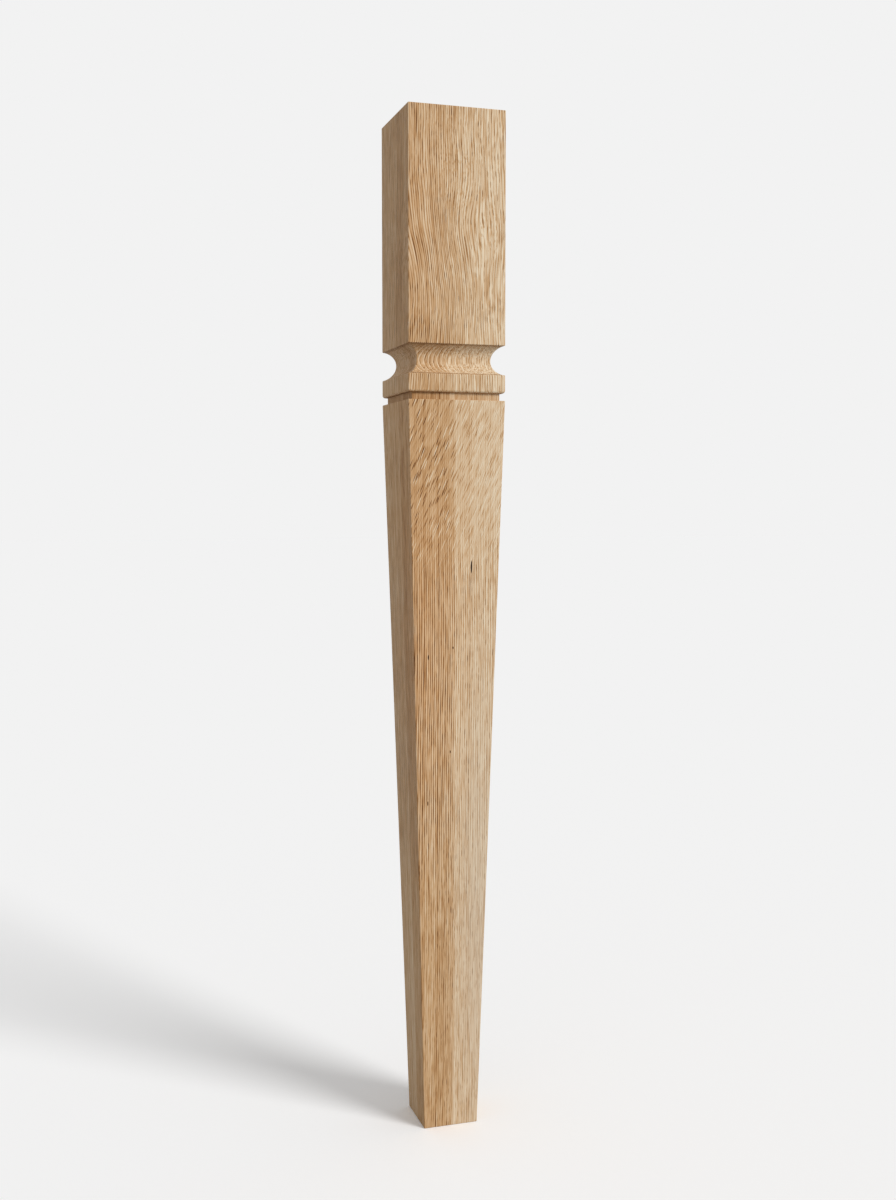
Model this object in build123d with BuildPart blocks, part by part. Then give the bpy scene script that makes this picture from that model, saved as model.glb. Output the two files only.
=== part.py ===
from build123d import *
import os

# Kitchen island leg, milled from one square length of oak.
# A plain square block at the top takes the rails or panels of the island. Below it
# a cove, a flat band and a narrow groove run round all four sides, with their
# corners mitred, and from the groove down all four sides taper to a square foot.
#
# Frame: origin at the centre of the foot, where it meets the floor, +Z up the leg,
# and the four sides square to X and Y. Lengths are in millimetres.

INCH = 25.4

# Overall sizes
leg_height = 36 * INCH
leg_width = 3.5 * INCH
foot_width = 2 * INCH
block_height = 8 * INCH

# Moulding below the block, from the top down
cove_height = (1 + 1 / 32) * INCH
cove_depth = 13 / 32 * INCH
band_height = 5 / 8 * INCH
groove_height = 1 / 4 * INCH
groove_depth = 5 / 32 * INCH

# Worked edges: the band's lower edge is moulded round, the others are only sanded
band_round = 3 / 32 * INCH
shoulder_round = 1 / 32 * INCH
edge_round = 1 / 32 * INCH
end_chamfer = 1 / 48 * INCH

# Heights at which one form gives way to the next
block_bottom = leg_height - block_height
cove_bottom = block_bottom - cove_height
band_bottom = cove_bottom - band_height
taper_top = band_bottom - groove_height

# Half widths
side = leg_width / 2
groove_wall = side - groove_depth
foot_side = foot_width / 2

# The leg as it is seen square on from any of its four sides, drawn down its right-hand
# side from the top and then mirrored
with BuildSketch() as side_view:
    with BuildLine():
        block_side = Polyline(
            (0, leg_height),
            (side - end_chamfer, leg_height),
            (side, leg_height - end_chamfer),
            (side, block_bottom),
        )
        cove = SagittaArc(block_side @ 1, (side, cove_bottom), -cove_depth)
        Polyline(
            cove @ 1,
            (side, band_bottom),
            (groove_wall, band_bottom),
            (groove_wall, taper_top),
            (side, taper_top),
            (foot_side, end_chamfer),
            (foot_side - end_chamfer, 0),
            (0, 0),
        )
        mirror(about=Plane.YZ)
    make_face()

with BuildPart() as island_leg:
    # The same view run through from front to back and from side to side: what the two
    # have in common is the leg, with its moulding mitred at the corners
    with BuildSketch(Plane.XZ):
        add(side_view.sketch)
    extrude(amount=side, both=True)
    with BuildSketch(Plane.YZ):
        add(side_view.sketch)
    extrude(amount=side, both=True, mode=Mode.INTERSECT)

    # Sanded long edges, up the block and the band and down the taper
    between_wall_and_side = (groove_wall + side) / 2
    upright_edges = island_leg.edges().filter_by(Axis.Z)
    outer_edges = upright_edges.filter_by(lambda edge: abs(edge.center().X) > between_wall_and_side)
    taper_edges = island_leg.edges().sort_by(SortBy.LENGTH)[-4:]
    fillet(outer_edges + taper_edges, radius=edge_round)

    # Lower edge of the band, around the roof of the groove
    groove_roof = island_leg.faces().filter_by_position(Axis.Z, band_bottom, band_bottom)[0]
    fillet(groove_roof.outer_wire().edges(), radius=band_round)

    # Upper edge of the taper, around the floor of the groove
    groove_floor = island_leg.faces().filter_by_position(Axis.Z, taper_top, taper_top)[0]
    fillet(groove_floor.outer_wire().edges(), radius=shoulder_round)

island_leg.part.label = "island_leg"

os.makedirs("parts", exist_ok=True)
export_step(island_leg.part, "parts/island_leg.step")

solids = island_leg.part.solids()
print("solids", len(solids), "faces", len(island_leg.part.faces()))
print("volume in cm3", round(island_leg.part.volume / 1000))
print("size in mm", island_leg.part.bounding_box().size)
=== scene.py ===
# %% [markdown]
# # A kitchen island leg in oak
#
# The leg is one length of solid oak, 36 inches high and 3 1/2 inches square. It has a plain
# block at the top, a moulding below it that is cut across all four sides, and a taper to a
# square foot. There is one piece to model, and it is simple. Almost all that makes it look
# real is the wood: growth rings, pores and rays that run through the solid, so that a cut
# across them, such as the cove, shows them as a saw or a cutter would.
#
# Everything is in metres, in the frame of the measured part: the foot stands on z = 0 and
# the four sides face along X and Y.

import math

import bpy
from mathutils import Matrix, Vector


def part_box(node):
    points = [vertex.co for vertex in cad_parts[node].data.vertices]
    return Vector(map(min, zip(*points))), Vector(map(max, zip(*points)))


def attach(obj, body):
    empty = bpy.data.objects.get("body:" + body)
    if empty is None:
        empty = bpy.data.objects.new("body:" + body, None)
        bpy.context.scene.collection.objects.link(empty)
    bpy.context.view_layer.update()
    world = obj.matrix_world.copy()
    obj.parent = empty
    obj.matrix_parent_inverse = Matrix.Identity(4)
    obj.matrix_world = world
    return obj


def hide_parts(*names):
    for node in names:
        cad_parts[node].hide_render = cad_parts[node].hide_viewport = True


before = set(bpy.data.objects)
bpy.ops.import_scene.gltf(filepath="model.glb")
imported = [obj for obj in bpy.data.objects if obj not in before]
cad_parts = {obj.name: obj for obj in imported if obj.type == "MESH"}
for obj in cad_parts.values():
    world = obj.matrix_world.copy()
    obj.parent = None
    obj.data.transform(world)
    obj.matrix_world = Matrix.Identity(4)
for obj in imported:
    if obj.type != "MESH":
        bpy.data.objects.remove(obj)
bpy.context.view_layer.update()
lowest, highest = (Vector(corner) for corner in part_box("island_leg"))
leg_height = highest.z - lowest.z
side = highest.x
print("leg", round(leg_height, 4), "m high and", round(2 * side, 4), "m square")

# %% [markdown]
# ## Camera
#
# A product picture of a tall, thin thing is taken from a few steps away, a little above its
# middle, so that its upright edges stay nearly parallel. The camera stands in front and to
# the left, so one side is seen almost square on and the next only as a narrow strip. It
# could be turned by angles, but it is easier to read as a place to stand and a point to
# look at.

# %% Stand the camera in front and to the left
camera_place = Vector((-0.371, -1.198, 0.573))
camera_aim = Vector((0.005, -0.001, 0.484))
camera_lens = 41.2

camera_data = bpy.data.cameras.new("camera")
camera_data.lens = camera_lens
camera_data.sensor_width = 36
camera = bpy.data.objects.new("camera", camera_data)
camera.location = camera_place
camera.rotation_euler = (camera_aim - camera_place).to_track_quat("-Z", "Y").to_euler()
bpy.context.collection.objects.link(camera)
bpy.context.scene.camera = camera
bpy.context.scene.view_settings.view_transform = "Standard"
print("camera is", round((camera_aim - camera_place).length, 2), "m from the leg")

# %% [markdown]
# ## Light
#
# One broad lamp stands to the right and in front, so the wide side is bright and the narrow
# one is in shade, and the shadow falls on the floor to the left. A sun lamp is used for it,
# because it lights the floor evenly from near to far, and its wide angle makes the edge of
# the shadow as soft as a softbox would. The air around it adds a little light from all
# sides. The camera sees the world as near white whatever light it gives.

# %% Set up the lamp
paper_white = 0.888
key_from = Vector((0.55, -0.70, 0.45))
key_strength = 2.15
key_softness = math.radians(24)

key_data = bpy.data.lights.new("key", "SUN")
key_data.energy = key_strength
key_data.angle = key_softness
key = bpy.data.objects.new("key", key_data)
key.location = key_from * 3
key.rotation_euler = key_from.to_track_quat("Z", "Y").to_euler()
bpy.context.collection.objects.link(key)
print("key lamp", math.degrees(math.asin(key_from.normalized().z)), "degrees up")


# %% Set up the air
def seen_directly(tree):
    """1 for rays that show the background: straight, mirrored or through glass."""
    rays = tree.nodes.new("ShaderNodeLightPath")
    either = rays.outputs["Is Camera Ray"]
    for kind in ("Is Glossy Ray", "Is Transmission Ray"):
        larger = tree.nodes.new("ShaderNodeMath")
        larger.operation = "MAXIMUM"
        tree.links.new(either, larger.inputs[0])
        tree.links.new(rays.outputs[kind], larger.inputs[1])
        either = larger.outputs[0]
    return either


air_strength = 0.48
world = bpy.data.worlds.new("studio air")
bpy.context.scene.world = world
world.use_nodes = True
air = world.node_tree
air.nodes.clear()
fill_light = air.nodes.new("ShaderNodeBackground")
fill_light.inputs["Color"].default_value = (1.0, 1.0, 1.0, 1.0)
fill_light.inputs["Strength"].default_value = air_strength
white_paper = air.nodes.new("ShaderNodeBackground")
white_paper.inputs["Color"].default_value = (paper_white, paper_white, paper_white, 1.0)
choose = air.nodes.new("ShaderNodeMixShader")
air.links.new(seen_directly(air), choose.inputs[0])
air.links.new(fill_light.outputs[0], choose.inputs[1])
air.links.new(white_paper.outputs[0], choose.inputs[2])
world_out = air.nodes.new("ShaderNodeOutputWorld")
air.links.new(choose.outputs[0], world_out.inputs["Surface"])
print("air gives", air_strength, "and shows", paper_white)

# %% [markdown]
# ## Floor
#
# The floor is a large sheet of matt paper. Its colour is worked out from the light that
# falls on it, so that where nothing shades it, it renders just as pale as the background
# and its far edge doesn't show. A real studio floor that pale would throw so much light
# back up that the hollows of the moulding would lose their shade, so the floor is darker
# to every ray that only carries light.

# %% Lay the floor
bpy.ops.object.select_all(action="DESELECT")
bpy.ops.mesh.primitive_plane_add(size=40, location=(0, 0, lowest.z))
floor = bpy.context.object
floor.name = "floor"

key_down = key_from.normalized().z
floor_light = key_strength * key_down / math.pi + air_strength
floor_seen = paper_white / floor_light
floor_bounce = 0.42

paper = bpy.data.materials.new("paper")
paper.use_nodes = True
sheet = paper.node_tree
sheet.nodes.clear()
tone = sheet.nodes.new("ShaderNodeMix")
tone.data_type = "RGBA"
tone.inputs[6].default_value = (floor_bounce, floor_bounce, floor_bounce, 1.0)
tone.inputs[7].default_value = (floor_seen, floor_seen, floor_seen, 1.0)
sheet.links.new(seen_directly(sheet), tone.inputs[0])
matt = sheet.nodes.new("ShaderNodeBsdfDiffuse")
sheet.links.new(tone.outputs[2], matt.inputs["Color"])
paper_out = sheet.nodes.new("ShaderNodeOutputMaterial")
sheet.links.new(matt.outputs[0], paper_out.inputs["Surface"])
floor.data.materials.append(paper)
print("floor colour", round(floor_seen, 3))

# %% [markdown]
# ## The leg's shape
#
# The measured part already has the right shape, but its arrises are cut by a machine's
# rules. A finished leg has been sanded: every edge that a hand or a tool would catch is
# eased by half a millimetre or so, and that thin rounding is what catches the light.
#
# At every height the leg is a square. So it can be modelled as a square that is drawn up
# the leg: the face is extruded to the next height and resized to the width there. Cut into
# steps, the cove is the same thing with many small moves. Because each step stays square,
# the moulding mitres at the corners by itself.

# %% Sizes of the moulding
INCH = 0.0254
foot_side = 1.0 * INCH
block_height = 8 * INCH
cove_height = (1 + 1 / 32) * INCH
cove_depth = 13 / 32 * INCH
band_height = 5 / 8 * INCH
groove_height = 1 / 4 * INCH
groove_depth = 5 / 32 * INCH
band_round = 3 / 32 * INCH

block_bottom = highest.z - block_height
cove_bottom = block_bottom - cove_height
band_bottom = cove_bottom - band_height
taper_top = band_bottom - groove_height
groove_wall = side - groove_depth
print("moulding from", round(taper_top, 4), "to", round(block_bottom, 4))

# %% List the heights and half widths to draw the square through
cove_radius = ((cove_height / 2) ** 2 + cove_depth**2) / (2 * cove_depth)
cove_middle = (cove_bottom + block_bottom) / 2
cove_centre = side - cove_depth + cove_radius
cove_half_angle = math.asin(cove_height / 2 / cove_radius)
cove_steps = 24
round_steps = 6

levels = [
    (taper_top, side),
    (taper_top, groove_wall),
    (band_bottom, groove_wall),
]
for step in range(round_steps + 1):
    angle = math.radians(90) * step / round_steps
    level_z = band_bottom + band_round * (1 - math.cos(angle))
    levels.append((level_z, side - band_round * (1 - math.sin(angle))))
for step in range(cove_steps + 1):
    angle = cove_half_angle * (2 * step / cove_steps - 1)
    level_z = cove_middle + cove_radius * math.sin(angle)
    levels.append((level_z, cove_centre - cove_radius * math.cos(angle)))
levels.append((highest.z, side))
print(len(levels), "levels above the foot")

# %% Draw the square up the leg
bpy.ops.object.select_all(action="DESELECT")
bpy.ops.mesh.primitive_plane_add(size=2 * foot_side, location=(0, 0, lowest.z))
leg = bpy.context.object
leg.name = "oak_leg"
bpy.ops.object.transform_apply(location=True, rotation=True, scale=True)
bpy.ops.object.mode_set(mode="EDIT")
bpy.ops.mesh.select_all(action="SELECT")
here_z, here_side = lowest.z, foot_side
for level_z, level_side in levels:
    bpy.ops.mesh.extrude_region_move(TRANSFORM_OT_translate={"value": (0, 0, level_z - here_z)})
    grow = level_side / here_side
    bpy.ops.transform.resize(value=(grow, grow, 1), center_override=(0, 0, level_z))
    here_z, here_side = level_z, level_side
bpy.ops.mesh.select_all(action="SELECT")
bpy.ops.mesh.remove_doubles(threshold=0.00001)
bpy.ops.mesh.normals_make_consistent(inside=False)
bpy.ops.object.mode_set(mode="OBJECT")
print("leg has", len(leg.data.polygons), "faces before its edges are eased")

# %% [markdown]
# The edges are eased with a bevel, as a sanding block would do it. The angle limit leaves
# the small steps of the cove and of the band's rounding alone, so only true arrises are
# touched. A bevel could be cut in edit mode instead, but the modifier finds all the arrises
# by itself, and it also evens out the shading of the flat sides.

# %% Ease the edges
sanded = leg.modifiers.new("sanded edges", "BEVEL")
sanded.width = 0.0006
sanded.segments = 3
sanded.limit_method = "ANGLE"
sanded.angle_limit = math.radians(30)
sanded.harden_normals = True
bpy.context.view_layer.objects.active = leg
bpy.ops.object.select_all(action="DESELECT")
leg.select_set(True)
bpy.ops.object.shade_smooth_by_angle(angle=math.radians(30))
bpy.ops.object.modifier_apply(modifier=sanded.name)
print("leg has", len(leg.data.polygons), "faces, size", [round(d, 4) for d in leg.dimensions])

# %% [markdown]
# ## Helpers for materials
#
# Wood is drawn by nodes. A few short helpers keep the steps readable: one adds a node and
# fills in its inputs, and the others do one step of arithmetic each, on numbers or on
# places. A colour is written as it looks on a swatch, from 0 to 255, and turned into the
# linear values that the renderer uses.


# %% Helpers for numbers and masks
def put(tree, kind, inputs=None, **settings):
    """Adds a node; each input is given a value, or the socket that feeds it."""
    node = tree.nodes.new("ShaderNode" + kind)
    for name, value in settings.items():
        setattr(node, name, value)
    for name, value in (inputs or {}).items():
        if isinstance(value, bpy.types.NodeSocket):
            tree.links.new(value, node.inputs[name])
        else:
            node.inputs[name].default_value = value
    return node


def sum_of(tree, operation, *terms):
    """One step of arithmetic, such as ADD or MULTIPLY, on numbers or sockets."""
    return put(tree, "Math", dict(enumerate(terms)), operation=operation).outputs[0]


def times(tree, first, *others):
    """The product of two or more masks or numbers."""
    product = first
    for other in others:
        product = sum_of(tree, "MULTIPLY", product, other)
    return product


def weaker(tree, mask, share, whole=1.0):
    """The whole where the mask is 0, and less by a share of it where the mask is 1."""
    return sum_of(tree, "MULTIPLY_ADD", mask, -share, whole)


def ease(tree, value, start, end, low=0.0, high=1.0):
    """Goes smoothly from low to high while value goes from start to end."""
    ranges = {"Value": value, "From Min": start, "From Max": end, "To Min": low, "To Max": high}
    return put(tree, "MapRange", ranges, interpolation_type="SMOOTHSTEP").outputs[0]


def zone(tree, value, rise, fall):
    """1 between two places; for each, where the change starts and ends."""
    return times(tree, ease(tree, value, *rise), ease(tree, value, *fall, low=1.0, high=0.0))


def off_middle(tree, value):
    """A noise about 0, instead of about one half."""
    return sum_of(tree, "SUBTRACT", value, 0.5)


# %% Helpers for places and colours
def on_places(tree, operation, *terms):
    """One step of arithmetic on places, such as ADD or SUBTRACT."""
    return put(tree, "VectorMath", dict(enumerate(terms)), operation=operation).outputs[0]


def scaled(tree, place, factor):
    """A place multiplied by one number."""
    return put(tree, "VectorMath", {0: place, "Scale": factor}, operation="SCALE").outputs[0]


def stretch(tree, place, across, along):
    """A place multiplied by the repeats in each metre across and along the leg."""
    return on_places(tree, "MULTIPLY", place, (across, across, along))


def noise(tree, place, detail=1.0):
    """Soft cloudy noise, mostly between 0.3 and 0.7."""
    return put(tree, "TexNoise", {"Vector": place, "Scale": 1.0, "Detail": detail}).outputs[0]


def blend(tree, share, under, over, mode="MIX"):
    """Lays one colour over another; share is how much of it shows."""
    mix = tree.nodes.new("ShaderNodeMix")
    mix.data_type = "RGBA"
    mix.blend_type = mode
    for socket, value in ((mix.inputs[0], share), (mix.inputs[6], under), (mix.inputs[7], over)):
        if isinstance(value, bpy.types.NodeSocket):
            tree.links.new(value, socket)
        else:
            socket.default_value = value
    return mix.outputs[2]


def swatch(red, green, blue):
    """A colour as it looks on a swatch, in the linear values that nodes take."""
    parts = [part / 255 for part in (red, green, blue)]
    return (*[p / 12.92 if p <= 0.04045 else ((p + 0.055) / 1.055) ** 2.4 for p in parts], 1.0)


def new_group(name, takes, gives):
    """An empty node group with named inputs and outputs, and the nodes that stand for them."""
    group = bpy.data.node_groups.new(name, "ShaderNodeTree")
    for label, kind, value in takes:
        socket = group.interface.new_socket(name=label, in_out="INPUT", socket_type=kind)
        if value is not None:
            socket.default_value = value
    for label, kind in gives:
        group.interface.new_socket(name=label, in_out="OUTPUT", socket_type=kind)
    return group, group.nodes.new("NodeGroupInput"), group.nodes.new("NodeGroupOutput")


NUMBER = "NodeSocketFloat"
PLACE = "NodeSocketVector"

# %% [markdown]
# ## Marking a place on the wood
#
# Much of what makes one piece of wood different from the next happens in one place: a swirl
# round an old twig, a patch of short dark pores, a pin knot. Such a place could be painted
# on a texture. Here it is a soft ball of influence in space, which is 1 at its middle and
# fades out within a given reach along each axis. It can be put anywhere and used as a mask.

# %% Group: patch
patch_group, patch_in, patch_out = new_group(
    "patch",
    [("Place", PLACE, None), ("Middle", PLACE, None), ("Per Reach", PLACE, None)],
    [("Mask", NUMBER)],
)
apart = on_places(patch_group, "SUBTRACT", patch_in.outputs["Place"], patch_in.outputs["Middle"])
reaches = on_places(patch_group, "MULTIPLY", apart, patch_in.outputs["Per Reach"])
squared = put(patch_group, "VectorMath", {0: reaches, 1: reaches}, operation="DOT_PRODUCT")
falling = times(patch_group, squared.outputs["Value"], -1.0)
patch_group.links.new(sum_of(patch_group, "EXPONENT", falling), patch_out.inputs["Mask"])


def patch(tree, place, middle, reach):
    """Mask that is 1 at a middle and fades within a reach, given along each axis."""
    per_reach = [1 / length for length in reach]
    inputs = {"Place": place, "Middle": middle, "Per Reach": per_reach}
    return put(tree, "Group", inputs, node_tree=patch_group).outputs["Mask"]


print("made group", patch_group.name)

# %% [markdown]
# ## How the grain runs
#
# The fibres of a tree don't run dead straight. They wander by a few millimetres over the
# length of a leg, and where a twig once grew they are pushed aside. All that follows them,
# the rings, the pores and the streaks, has to bend with them. So each point is first moved
# to where it would lie if the tree had grown straight, and every pattern is drawn there.

# %% Group: wander
wander_group, wander_in, wander_out = new_group(
    "wander",
    [("Place", PLACE, None), ("Per Metre", PLACE, None), ("Size", NUMBER, 0.01)],
    [("Place", PLACE)],
)
waves_place = on_places(
    wander_group, "MULTIPLY", wander_in.outputs["Place"], wander_in.outputs["Per Metre"]
)
waves = put(wander_group, "TexNoise", {"Vector": waves_place, "Scale": 1.0, "Detail": 1.0})
swing = on_places(wander_group, "SUBTRACT", waves.outputs["Color"], (0.5, 0.5, 0.5))
swing = scaled(wander_group, swing, wander_in.outputs["Size"])
wandered = on_places(wander_group, "ADD", wander_in.outputs["Place"], swing)
wander_group.links.new(wandered, wander_out.inputs["Place"])


def wander(tree, place, across, along, size):
    """Bends the grain in slow waves; across and along are waves in each metre."""
    inputs = {"Place": place, "Per Metre": (across, across, along), "Size": size}
    return put(tree, "Group", inputs, node_tree=wander_group).outputs["Place"]


print("made group", wander_group.name)

# %% Group: swelling
swell_group, swell_in, swell_out = new_group(
    "swelling",
    [("Place", PLACE, None), ("Mask", NUMBER, 0.0), ("Push", PLACE, None)],
    [("Place", PLACE)],
)
local_push = scaled(swell_group, swell_in.outputs["Push"], swell_in.outputs["Mask"])
straight = on_places(swell_group, "SUBTRACT", swell_in.outputs["Place"], local_push)
swell_group.links.new(straight, swell_out.inputs["Place"])


def swelling(tree, place, middle, reach, push):
    """Pushes the grain sideways round a middle."""
    inputs = {"Place": place, "Mask": patch(tree, place, middle, reach), "Push": push}
    return put(tree, "Group", inputs, node_tree=swell_group).outputs["Place"]


print("made group", swell_group.name)

# %% [markdown]
# ## Growth rings
#
# A tree grows in rings round its pith. This leg was cut with its pith outside the front
# left corner, so the rings cross the front side at a slant and the left side almost square
# on. If each point knows how far it is from the pith, all four sides, the ends and the cove
# agree, as they do in real wood: in the hollow of the cove the rings that run straight up
# the flat sides show as nested curves. The pith leans a little, so the rings keep nearly
# the same distance from the tapered sides.
#
# The front side cuts the rings more and more squarely towards the right. Rings of one width
# would lie wide apart on its left and close together on its right, so each ring is a fixed
# share wider than the last. A logarithm of the distance counts such rings.
#
# Each year has an open spring part, which shows as a thin dark line, and a denser autumn
# part. Every second spring line is also given on its own, for places where the lines have
# to be fewer and stronger. Good and bad years make broad bands that can be told apart from
# a distance.

# %% Group: growth rings
ring_group, ring_in, ring_out = new_group(
    "growth rings",
    [("Place", PLACE, None), ("Pith", PLACE, None), ("Lean", PLACE, None), ("Growth", NUMBER, 1.01)],
    [
        ("From Pith", NUMBER),
        ("Round Pith", NUMBER),
        ("Spring Wood", NUMBER),
        ("Strong Springs", NUMBER),
        ("Good Years", NUMBER),
    ],
)
ring_place = ring_in.outputs["Place"]
ring_z = put(ring_group, "SeparateXYZ", {"Vector": ring_place}).outputs["Z"]
pith_shift = scaled(ring_group, ring_in.outputs["Lean"], ring_z)
pith_here = on_places(ring_group, "ADD", ring_in.outputs["Pith"], pith_shift)
from_there = on_places(ring_group, "SUBTRACT", ring_place, pith_here)
level = stretch(ring_group, from_there, across=1.0, along=0.0)
from_pith = put(ring_group, "VectorMath", {0: level}, operation="LENGTH").outputs["Value"]
level_axes = put(ring_group, "SeparateXYZ", {"Vector": level}).outputs
round_pith = sum_of(ring_group, "ARCTAN2", level_axes["Y"], level_axes["X"])

ripple_size = 0.0013
ripple = noise(ring_group, stretch(ring_group, ring_place, across=150.0, along=12.0), detail=2.0)
ripple = times(ring_group, off_middle(ring_group, ripple), ripple_size)
rippled = sum_of(ring_group, "ADD", from_pith, ripple)
ring_number = sum_of(ring_group, "LOGARITHM", rippled, ring_in.outputs["Growth"])
in_year = sum_of(ring_group, "FRACT", ring_number)
spring = zone(ring_group, in_year, rise=(0.0, 0.15), fall=(0.25, 0.65))
in_pair = sum_of(ring_group, "FRACT", times(ring_group, ring_number, 0.5))
strong = zone(ring_group, in_pair, rise=(0.0, 0.2), fall=(0.35, 0.75))

bands_per_metre = 130.0
years_place = times(ring_group, from_pith, bands_per_metre)
years_inputs = {"W": years_place, "Scale": 1.0, "Detail": 4.0, "Roughness": 0.65}
years = put(ring_group, "TexNoise", years_inputs, noise_dimensions="1D").outputs[0]

ring_results = {
    "From Pith": from_pith,
    "Round Pith": round_pith,
    "Spring Wood": spring,
    "Strong Springs": strong,
    "Good Years": years,
}
for label, socket in ring_results.items():
    ring_group.links.new(socket, ring_out.inputs[label])
print("made group", ring_group.name)

# %% [markdown]
# ## Dashes
#
# Oak's pores are fine tubes that run up the tree. Where a side cuts them they show as short
# dark dashes, and the rays between them as pale flecks. Both can come from one group: cells
# stretched along the grain, with a dash in the middle of some of them. Because the cells
# are solid, a cut across the grain, as at the two ends, turns the dashes into dots.

# %% Group: dashes
dash_group, dash_in, dash_out = new_group(
    "dashes",
    [
        ("Place", PLACE, None),
        ("Per Metre", PLACE, None),
        ("Width", NUMBER, 0.5),
        ("Filled", NUMBER, 0.5),
    ],
    [("Dash", NUMBER)],
)
cell_place = on_places(dash_group, "MULTIPLY", dash_in.outputs["Place"], dash_in.outputs["Per Metre"])
cells = put(dash_group, "TexVoronoi", {"Vector": cell_place, "Scale": 1.0})
lot = put(dash_group, "SeparateColor", {"Color": cells.outputs["Color"]}).outputs[0]
drawn = sum_of(dash_group, "LESS_THAN", lot, dash_in.outputs["Filled"])
core = times(dash_group, dash_in.outputs["Width"], 0.5)
inside = ease(dash_group, cells.outputs["Distance"], core, dash_in.outputs["Width"], low=1.0, high=0.0)
dash_group.links.new(times(dash_group, inside, drawn), dash_out.inputs["Dash"])


def dashes(tree, place, across, along, width, filled):
    """Short strokes along the grain; across and along are cells in each metre."""
    inputs = {"Place": place, "Per Metre": (across, across, along), "Width": width, "Filled": filled}
    return put(tree, "Group", inputs, node_tree=dash_group).outputs["Dash"]


print("made group", dash_group.name)

# %% [markdown]
# ## Hairlines
#
# Between the pores run long, thin dark lines that come and go. A noise stretched along the
# grain is used like a map: wherever it passes its middle value a line is drawn, as a map
# draws a contour, and a second, coarser noise lets the lines fade in and out.

# %% Group: hairlines
hair_group, hair_in, hair_out = new_group(
    "hairlines",
    [("Place", PLACE, None), ("Per Metre", PLACE, None), ("Width", NUMBER, 0.08)],
    [("Line", NUMBER)],
)
map_place = on_places(hair_group, "MULTIPLY", hair_in.outputs["Place"], hair_in.outputs["Per Metre"])
off_contour = sum_of(hair_group, "ABSOLUTE", off_middle(hair_group, noise(hair_group, map_place)))
contour = ease(hair_group, off_contour, 0.0, hair_in.outputs["Width"], low=1.0, high=0.0)
fading = noise(hair_group, stretch(hair_group, map_place, across=0.5, along=1.8))
fading = ease(hair_group, fading, 0.42, 0.60)
hair_group.links.new(times(hair_group, contour, fading), hair_out.inputs["Line"])


def hairlines(tree, place, across, along, width):
    """Long thin lines along the grain; across and along are repeats in each metre."""
    inputs = {"Place": place, "Per Metre": (across, across, along), "Width": width}
    return put(tree, "Group", inputs, node_tree=hair_group).outputs["Line"]


print("made group", hair_group.name)

# %% [markdown]
# ## Oak
#
# The finish is bare, finely sanded oak. Dark and light wood differ in hue too: the darker
# it is, the more orange. So everything that happens in the wood only makes it darker or
# lighter, all of it is summed up into one tone, and a single ramp turns the tone into a
# colour at the end. That is easier to tune than many colours laid over each other.
#
# First the grain is bent. It wanders slowly all the way up and more quickly in the block,
# where three places push it aside: two round old twigs, and one where it curves in from the
# lower left corner.

# %% Start the oak and bend its grain
oak = bpy.data.materials.new("oak")
oak.use_nodes = True
tree = oak.node_tree
tree.nodes.clear()
place = put(tree, "TexCoord").outputs["Object"]
axes = put(tree, "SeparateXYZ", {"Vector": place}).outputs
rightwards = axes["X"]
backwards = axes["Y"]
height = axes["Z"]
front = -side


def on_block(x, up):
    """A place on the front of the block, measured up from the block's lower edge."""
    return (x, front, block_bottom + up)


grain = wander(tree, place, across=7.0, along=3.0, size=0.005)
in_block = ease(tree, height, cove_bottom, block_bottom + 0.03, low=0.0, high=0.005)
grain = wander(tree, grain, across=28.0, along=16.0, size=in_block)

curls = [
    (on_block(0.007, 0.108), (0.020, 0.020, 0.028), (-0.005, 0, 0)),
    (on_block(0.035, 0.098), (0.012, 0.020, 0.026), (0.003, 0, 0)),
    (on_block(-side, 0.030), (0.034, 0.034, 0.052), (0.011, 0, 0)),
]
for middle, reach, push in curls:
    grain = swelling(tree, grain, middle, reach, push)
print("grain is pushed aside in", len(curls), "places")

# %% [markdown]
# The pith's place decides how the rings cross each side. It was found by trial: the rings
# had to be two millimetres apart on the front, and the arcs in the cove had to lean the
# right way. The lean is how far the pith moves sideways for each metre up.

# %% Find the rings
pith = (-0.086, -0.104, 0.0)
pith_lean = (-0.0152, -0.0182, 0.0)
ring_growth = 1.0136
inputs = {"Place": grain, "Pith": pith, "Lean": pith_lean, "Growth": ring_growth}
rings = put(tree, "Group", inputs, node_tree=ring_group).outputs
from_pith = rings["From Pith"]
spring_wood = rings["Spring Wood"]
print("each ring is", round(100 * (ring_growth - 1), 2), "percent wider than the last")

# %% [markdown]
# The broad tones are what can be told from across a room: good and bad years, cloudy
# patches, the brown heart of the tree at the near corner with its sharp pale edge, and a
# few dark years, each given by its distance from the pith, its half width and its depth.
# All of them are numbers to add, plus for lighter and minus for darker.


# %% Start the tones with the tree's own bands
def add_tone(mask, depth):
    """Makes the wood lighter, or darker with a depth below 0, where a mask shows."""
    tones.append(times(tree, mask, depth))


tones = []
add_tone(off_middle(tree, rings["Good Years"]), 0.19)
clouds = off_middle(tree, noise(tree, stretch(tree, place, across=26.0, along=9.0), detail=4.0))
add_tone(clouds, 0.15)
drifting = sum_of(tree, "MULTIPLY_ADD", clouds, 0.05, rightwards)
tones.append(ease(tree, drifting, -0.035, 0.040, low=0.02, high=0.10))

heart_radius = ease(tree, height, cove_bottom, block_bottom, low=0.1188, high=0.1265)
past_heart = sum_of(tree, "SUBTRACT", from_pith, heart_radius)
tones.append(ease(tree, past_heart, -0.0012, 0.0, low=-0.09, high=0.03))
pale_line = sum_of(tree, "ABSOLUTE", sum_of(tree, "SUBTRACT", past_heart, 0.001))
tones.append(ease(tree, pale_line, 0.0, 0.0016, low=0.07, high=0.0))

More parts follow.
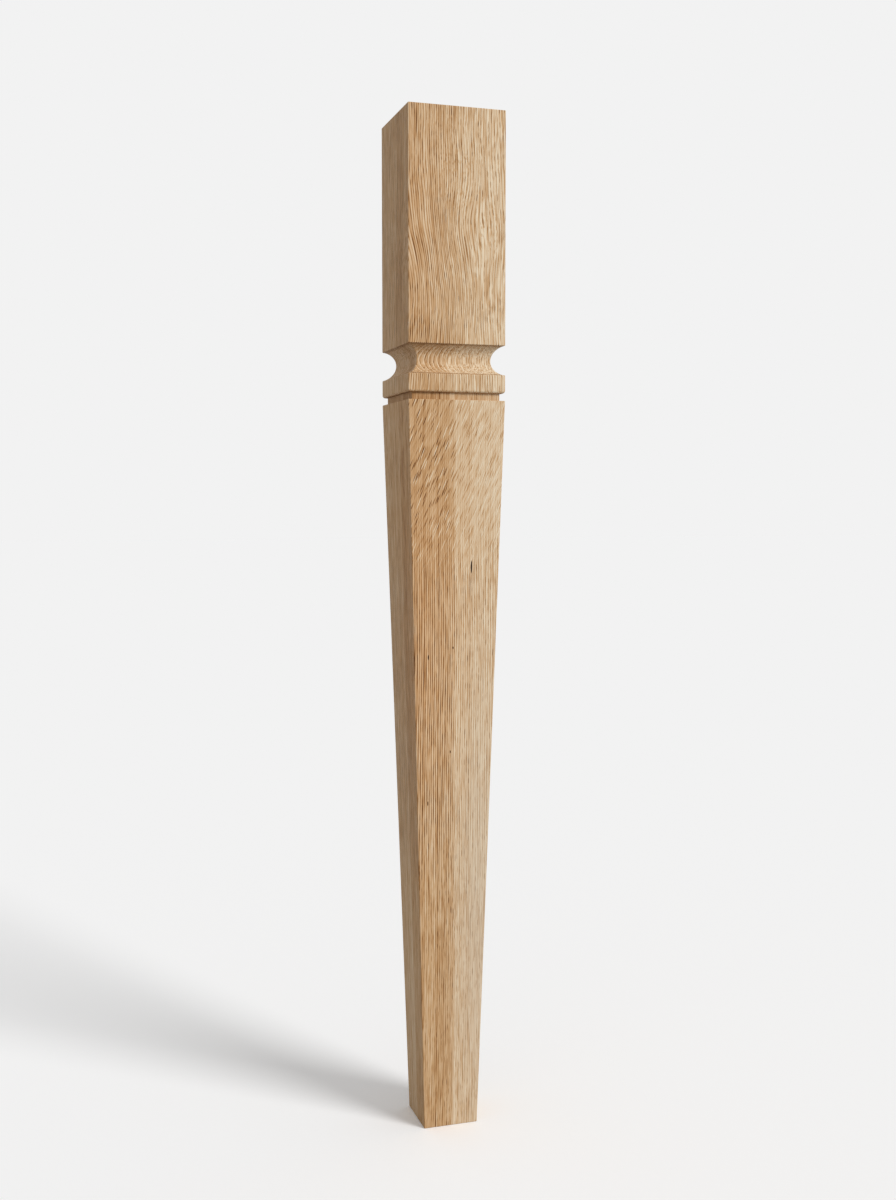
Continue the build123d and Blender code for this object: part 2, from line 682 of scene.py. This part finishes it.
dark_years = [
    (0.0925, 0.00128, 0.08),
    (0.0975, 0.00112, 0.12),
    (0.1063, 0.00128, 0.16),
    (0.1290, 0.00128, 0.08),
]
for radius, width, depth in dark_years:
    off_year = sum_of(tree, "ABSOLUTE", sum_of(tree, "SUBTRACT", from_pith, radius))
    tones.append(ease(tree, off_year, 0.0, width, low=-depth, high=0.0))
print(len(tones), "tones that follow the tree")

# %% [markdown]
# More broad tones follow. The wood behind the front is darker, from how the leg was cut,
# which the left side shows. The moulding is painted paler, a little on the band and much in
# the cove, as painted light against the shade that the block's lip throws into the cove,
# and the narrow groove is painted darker, as painted shade in its recess. Some places on the
# taper are darker or paler too.

# %% Add the tones of the sides, and the painted light and shade of the moulding
side_tone = ease(tree, height, block_bottom, block_bottom + 0.02, low=-0.13, high=-0.17)
tones.append(ease(tree, backwards, -0.042, -0.015, low=0.0, high=side_tone))

# Painted light: the cove is made much paler, and the band a little, to stand in for the light that the
# block's lip shades from the cove.
moulding_painted_light = zone(
    tree, height, rise=(band_bottom, band_bottom + 0.002), fall=(block_bottom - 0.002, block_bottom)
)
add_tone(moulding_painted_light, ease(tree, height, cove_bottom, cove_bottom + 0.002, low=0.045, high=0.17))
in_groove = zone(
    tree, height, rise=(taper_top - 0.0005, taper_top + 0.0005), fall=(band_bottom, band_bottom + 0.001)
)
# Painted shade: the narrow groove is darkened as the shade in a recess would darken it.
add_tone(in_groove, -0.14)

brown_patch = patch(tree, place, middle=(-0.022, front, 0.610), reach=(0.022, 0.030, 0.060))
add_tone(brown_patch, -0.09)
pale_foot = patch(tree, place, middle=(0.024, -foot_side, 0.200), reach=(0.020, 0.030, 0.220))
add_tone(pale_foot, 0.09)
pale_side = patch(tree, place, middle=(-foot_side, 0.0, 0.120), reach=(0.012, 0.030, 0.160))
add_tone(pale_side, 0.20)
foot_fade = (0.16, 0.30)
darker_low = ease(tree, height, *foot_fade, low=-0.05, high=0.0)
add_tone(ease(tree, rightwards, -0.010, 0.012, low=1.0, high=0.0), darker_low)
print(len(tones), "broad tones")

# %% [markdown]
# In the upper part of the taper the wood was cut through a place where the fibres lean out
# of the surface, and pale flecks and dark strokes cross it at a slant. The pattern there is
# the same kind as elsewhere, only sheared: each point is moved sideways by a share of its
# height. It shows on the front and the back and is kept to a thin layer under them, so that
# it doesn't smear over the other two sides.

# %% Mark where the grain leans
taper_slope = (side - foot_side) / taper_top
figure_lean = 0.39
figure_fade = (0.49, 0.58)
figure_height = zone(tree, height, rise=figure_fade, fall=(taper_top, taper_top + 0.003))
side_here = sum_of(tree, "MULTIPLY_ADD", height, taper_slope, foot_side)
depth_in = sum_of(tree, "SUBTRACT", side_here, sum_of(tree, "ABSOLUTE", backwards))
in_layer = ease(tree, depth_in, 0.0008, 0.0030, low=1.0, high=0.0)
in_figure = times(tree, figure_height, in_layer)

leaning_x = sum_of(tree, "SUBTRACT", rightwards, times(tree, height, figure_lean))
leaning_place = put(tree, "CombineXYZ", {"X": leaning_x, "Y": backwards, "Z": height}).outputs[0]
print("flecks lean", round(math.degrees(math.atan(figure_lean))), "degrees")

# %% [markdown]
# The fine tones are what can be seen at arm's length. The fibres are a noise drawn out
# along the grain, and along the slant in the leaning part.


# %% Draw the fibres
def fibres(place, across, along):
    """Fine streaks along the grain, from about -0.3 to 0.3."""
    return off_middle(tree, noise(tree, stretch(tree, place, across, along)))


upright_fibre = fibres(grain, across=1050.0, along=36.0)
leaning_fibre = fibres(leaning_place, across=1050.0, along=70.0)
to_leaning = sum_of(tree, "SUBTRACT", leaning_fibre, upright_fibre)
fibre = sum_of(tree, "MULTIPLY_ADD", to_leaning, in_figure, upright_fibre)
fibre_depth = ease(tree, height, *foot_fade, low=0.7, high=0.85)
fibre_depth = sum_of(tree, "MULTIPLY_ADD", in_figure, -0.20, fibre_depth)
add_tone(fibre, fibre_depth)
print("fibres drawn,", len(tones), "tones so far")

# %% [markdown]
# The spring wood of each ring adds thin dark ribs. They are regular in the middle of the
# taper and in the moulding, and weak in the leaning part and near the foot. In the hollow
# of the cove ribs as fine as that would blur into each other, so every second ring is drawn
# there, and drawn stronger.

# %% Draw the ribs
ribs_begin = ease(tree, height, 0.18, 0.32, low=0.35, high=1.0)
ribs_fade = ease(tree, height, 0.48, 0.58, low=1.0, high=0.2)
ribs_up_taper = times(tree, ribs_begin, ribs_fade)
ribs_above = ease(tree, height, taper_top, cove_bottom, low=0.0, high=0.9)
ribbed = sum_of(tree, "MAXIMUM", ribs_up_taper, ribs_above)
on_the_block = ease(tree, height, block_bottom - 0.002, block_bottom + 0.004, low=1.0, high=0.85)
in_cove = zone(
    tree, height, rise=(cove_bottom, cove_bottom + 0.003), fall=(block_bottom - 0.003, block_bottom)
)
ribbed = times(tree, ribbed, on_the_block, weaker(tree, in_cove, share=0.6))

breaks = noise(tree, stretch(tree, grain, across=450.0, along=45.0), detail=2.0)
unbroken = ease(tree, breaks, 0.30, 0.50, low=0.55, high=1.0)
spring_line = times(tree, spring_wood, unbroken)
average_line = 0.22
rib = times(tree, sum_of(tree, "SUBTRACT", spring_line, average_line), ribbed)
add_tone(rib, ease(tree, rightwards, -0.015, 0.010, low=-0.54, high=-0.36))

cove_arcs = times(tree, rings["Strong Springs"], in_cove)
add_tone(cove_arcs, ease(tree, rightwards, -0.020, 0.030, low=-0.24, high=-0.10))
print("ribs drawn,", len(tones), "tones so far")

# %% [markdown]
# Pores come in several kinds. Dashes follow the grain, most of them in spring wood, and
# hairlines run between them. On the right of the block the lines are wider and open. Where
# the planer chattered there are short pores, and low on the taper long ones; each such
# patch has a kind, a middle, a reach and a strength. Pores are the darkest and sharpest
# marks on the wood, and they are pressed into the relief as well.

# %% Draw the pores that follow the grain
pore_share = sum_of(tree, "MULTIPLY_ADD", spring_wood, 0.55, 0.45)
pores = dashes(tree, grain, across=900.0, along=110.0, width=0.45, filled=0.85)
pores = times(tree, pores, pore_share, weaker(tree, ribbed, share=0.4))
hairs = hairlines(tree, grain, across=880.0, along=16.0, width=0.12)
hairs = times(tree, hairs, weaker(tree, ribbed, share=0.5, whole=0.95))
pore_depth = times(
    tree,
    sum_of(tree, "MAXIMUM", pores, hairs),
    weaker(tree, in_figure, share=0.75),
    ease(tree, rightwards, -0.025, 0.020, low=0.62, high=1.15),
    ease(tree, height, cove_bottom, block_bottom + 0.01, low=1.0, high=1.25),
    ease(tree, height, 0.12, 0.26, low=0.70, high=1.0),
    weaker(tree, in_groove, share=0.55),
)

above_moulding = ease(tree, height, block_bottom, block_bottom + 0.02)
right_of_block = times(tree, ease(tree, rightwards, 0.000, 0.024, low=0.0, high=0.75), above_moulding)
fewer_round_corner = ease(tree, rightwards, 0.040, 0.044, low=1.0, high=0.45)
open_lines = hairlines(tree, grain, across=520.0, along=14.0, width=0.11)
open_lines = times(tree, open_lines, right_of_block, fewer_round_corner)
pore_depth = sum_of(tree, "MAXIMUM", pore_depth, open_lines)
add_tone(right_of_block, 0.04)
add_tone(above_moulding, 0.03)
print("pores drawn along the grain")

# %% Add the pores that lie in patches
short_pores = dashes(tree, grain, across=640.0, along=210.0, width=0.44, filled=0.8)
long_pores = dashes(tree, grain, across=700.0, along=80.0, width=0.40, filled=0.5)
pore_places = [
    (short_pores, on_block(0.002, 0.155), (0.028, 0.010, 0.014), 0.75),
    (short_pores, on_block(0.004, 0.126), (0.028, 0.010, 0.012), 0.65),
    (short_pores, on_block(0.030, 0.100), (0.012, 0.010, 0.030), 0.85),
    (short_pores, on_block(-0.006, 0.190), (0.030, 0.010, 0.018), 0.4),
    (long_pores, (0.006, -0.0310, 0.192), (0.008, 0.010, 0.034), 1.0),
    (long_pores, (0.022, -0.0295, 0.142), (0.008, 0.010, 0.030), 1.0),
]
for kind, middle, reach, strength in pore_places:
    local_pores = times(tree, kind, patch(tree, place, middle, reach), strength)
    pore_depth = sum_of(tree, "MAXIMUM", pore_depth, local_pores)
add_tone(pore_depth, -0.46)
print("pores in", len(pore_places), "patches")

# %% [markdown]
# The leaning figure is made of long pale flecks, which are rays cut at a slant, and shorter
# dark strokes between them. Both are dashes drawn on the sheared place. The strokes are
# deeper on the left, where the wood is browner.

# %% Draw the leaning figure of the upper taper
flecks = dashes(tree, leaning_place, across=620.0, along=42.0, width=0.30, filled=0.8)
flecks = times(tree, flecks, in_figure)
strokes = dashes(tree, leaning_place, across=760.0, along=75.0, width=0.42, filled=0.7)
strokes = times(tree, strokes, in_figure)
add_tone(flecks, 0.80)
add_tone(strokes, ease(tree, rightwards, -0.030, 0.020, low=-0.46, high=-0.34))
add_tone(in_figure, -0.02)
print("leaning figure drawn,", len(tones), "tones so far")

# %% [markdown]
# Two spots on the lower half of the block have a few pale flecks of their own, and the
# block's near lower corner is stained a little darker.

# %% Draw the flecks and the stain of the block
pale_places = sum_of(
    tree,
    "MAXIMUM",
    patch(tree, place, middle=on_block(-0.004, 0.064), reach=(0.012, 0.010, 0.020)),
    patch(tree, place, middle=on_block(0.021, 0.080), reach=(0.010, 0.010, 0.030)),
)
pale_flecks = dashes(tree, grain, across=620.0, along=70.0, width=0.44, filled=0.6)
add_tone(times(tree, pale_flecks, pale_places), 0.30)
corner_stain = patch(tree, place, middle=on_block(-0.040, 0.012), reach=(0.014, 0.012, 0.016))
add_tone(corner_stain, -0.16)
print(len(tones), "tones in all")

# %% [markdown]
# The ends of the leg were sawn across the grain. End grain drinks light, so it looks darker
# and duller than the sides. The rings show there as arcs round the pith, the pores as dots
# and the rays as fine pale lines that run from the pith outwards. A second material on the
# end faces could show this, but the pattern is already solid: only its tones have to change
# where the surface faces up or down.

# %% Show the end grain on the sawn ends
normal = put(tree, "TexCoord").outputs["Normal"]
facing = put(tree, "SeparateXYZ", {"Vector": normal}).outputs["Z"]
end_grain = ease(tree, sum_of(tree, "ABSOLUTE", facing), 0.85, 0.97)
rays_per_radian = 150.0
ray_place = times(tree, rings["Round Pith"], rays_per_radian)
ray_inputs = {"W": ray_place, "Scale": 1.0, "Detail": 2.0}
ray_noise = put(tree, "TexNoise", ray_inputs, noise_dimensions="1D").outputs[0]
rays = ease(tree, ray_noise, 0.56, 0.68, low=0.0, high=0.20)
arcs = times(tree, spring_wood, -0.30)
sawn_tone = -0.16
sawn = sum_of(tree, "ADD", sum_of(tree, "ADD", rays, arcs), sawn_tone)
add_tone(end_grain, sawn)
print("end grain shown where the surface faces up or down")

# %% [markdown]
# All the tones are now added to that of plain oak, and the ramp turns the sum into a colour.
# Its stops are the colours of this wood, from the bottom of a pore to the palest fleck. Two
# parts differ in hue as well as in tone: the left half of the leg is a little warmer, and
# the right of the foot a little greyer.

# %% Turn the tone into colour
plain_tone = 0.70
tone_sum = plain_tone
for part in tones:
    tone_sum = sum_of(tree, "ADD", tone_sum, part)
ramp = put(tree, "ValToRGB", {"Fac": tone_sum})
wood_colours = [
    (0.00, swatch(104, 66, 36)),
    (0.25, swatch(166, 120, 74)),
    (0.50, swatch(203, 163, 118)),
    (0.75, swatch(222, 193, 157)),
    (1.00, swatch(238, 219, 190)),
]
stops = ramp.color_ramp.elements
stops[0].position, stops[0].color = wood_colours[0]
stops[1].position, stops[1].color = wood_colours[-1]
for position, colour in wood_colours[1:-1]:
    stops.new(position).color = colour
body = ramp.outputs["Color"]

warm_taper = patch(tree, place, middle=(-0.030, front, 0.450), reach=(0.035, 0.050, 0.170))
warm_block = patch(tree, place, middle=on_block(-side, 0.100), reach=(0.035, 0.010, 0.110))
warm_wood = sum_of(tree, "MULTIPLY_ADD", warm_block, 0.5, warm_taper)
body = blend(tree, warm_wood, body, swatch(255, 244, 233), "MULTIPLY")
body = blend(tree, times(tree, pale_foot, 0.50), body, swatch(206, 188, 166))
body = blend(tree, times(tree, end_grain, 0.25), body, swatch(150, 112, 76))
print("colour ramp has", len(stops), "stops")

# %% [markdown]
# A pin knot is the end of a twig thinner than a match. This leg has one open slit in the
# upper part of the taper and a few pits further down. They are places too, each with its
# share of the way across the front side, its height, and half its width and length.

# %% Add the pin knots
pin_knots = [
    (0.680, 0.516, 0.00075, 0.0058),
    (0.172, 0.436, 0.0005, 0.0024),
    (0.475, 0.444, 0.0005, 0.0012),
    (0.448, 0.350, 0.0004, 0.0014),
    (0.143, 0.304, 0.0004, 0.0022),
]
knot_reach_in = 0.004
knots = 0.0
for share, knot_height, half_width, half_length in pin_knots:
    knot_side = foot_side + taper_slope * knot_height
    middle = ((2 * share - 1) * knot_side, -knot_side, knot_height)
    knot = patch(tree, place, middle, reach=(half_width, knot_reach_in, half_length))
    knots = sum_of(tree, "MAXIMUM", knots, ease(tree, knot, 0.25, 0.55))
body = blend(tree, knots, body, swatch(44, 27, 16))
print(len(pin_knots), "pin knots")

# %% [markdown]
# Sanding leaves the hard rays and autumn wood a hair higher than the soft spring wood, and
# the pores stay open. The same masks that gave the tone give that relief too, so each dark
# line is also a groove, and it catches the light from the side. Bare wood has hardly any
# shine; only the flecks of the rays are a little smoother.

# %% Give the surface its relief and shine
relief = sum_of(tree, "MULTIPLY_ADD", fibre, 0.6, times(tree, pore_depth, -0.7))
relief = sum_of(tree, "SUBTRACT", relief, times(tree, spring_line, 0.3))
relief = sum_of(tree, "MULTIPLY_ADD", flecks, 0.4, relief)
relief = sum_of(tree, "MULTIPLY_ADD", knots, -0.3, relief)
bump = put(tree, "Bump", {"Height": relief, "Strength": 0.7, "Distance": 0.0004})
rough = sum_of(tree, "MULTIPLY_ADD", flecks, -0.15, 0.62)
shader = put(
    tree, "BsdfPrincipled", {"Base Color": body, "Roughness": rough, "Normal": bump.outputs[0]}
)
shader.inputs["IOR"].default_value = 1.45
shader.inputs["Specular IOR Level"].default_value = 0.12
put(tree, "OutputMaterial", {"Surface": shader.outputs[0]})
leg.data.materials.append(oak)
print("oak has", len(tree.nodes), "nodes")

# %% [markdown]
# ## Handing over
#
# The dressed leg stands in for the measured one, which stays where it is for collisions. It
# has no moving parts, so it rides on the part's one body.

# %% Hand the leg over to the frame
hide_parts("island_leg")
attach(leg, "root")
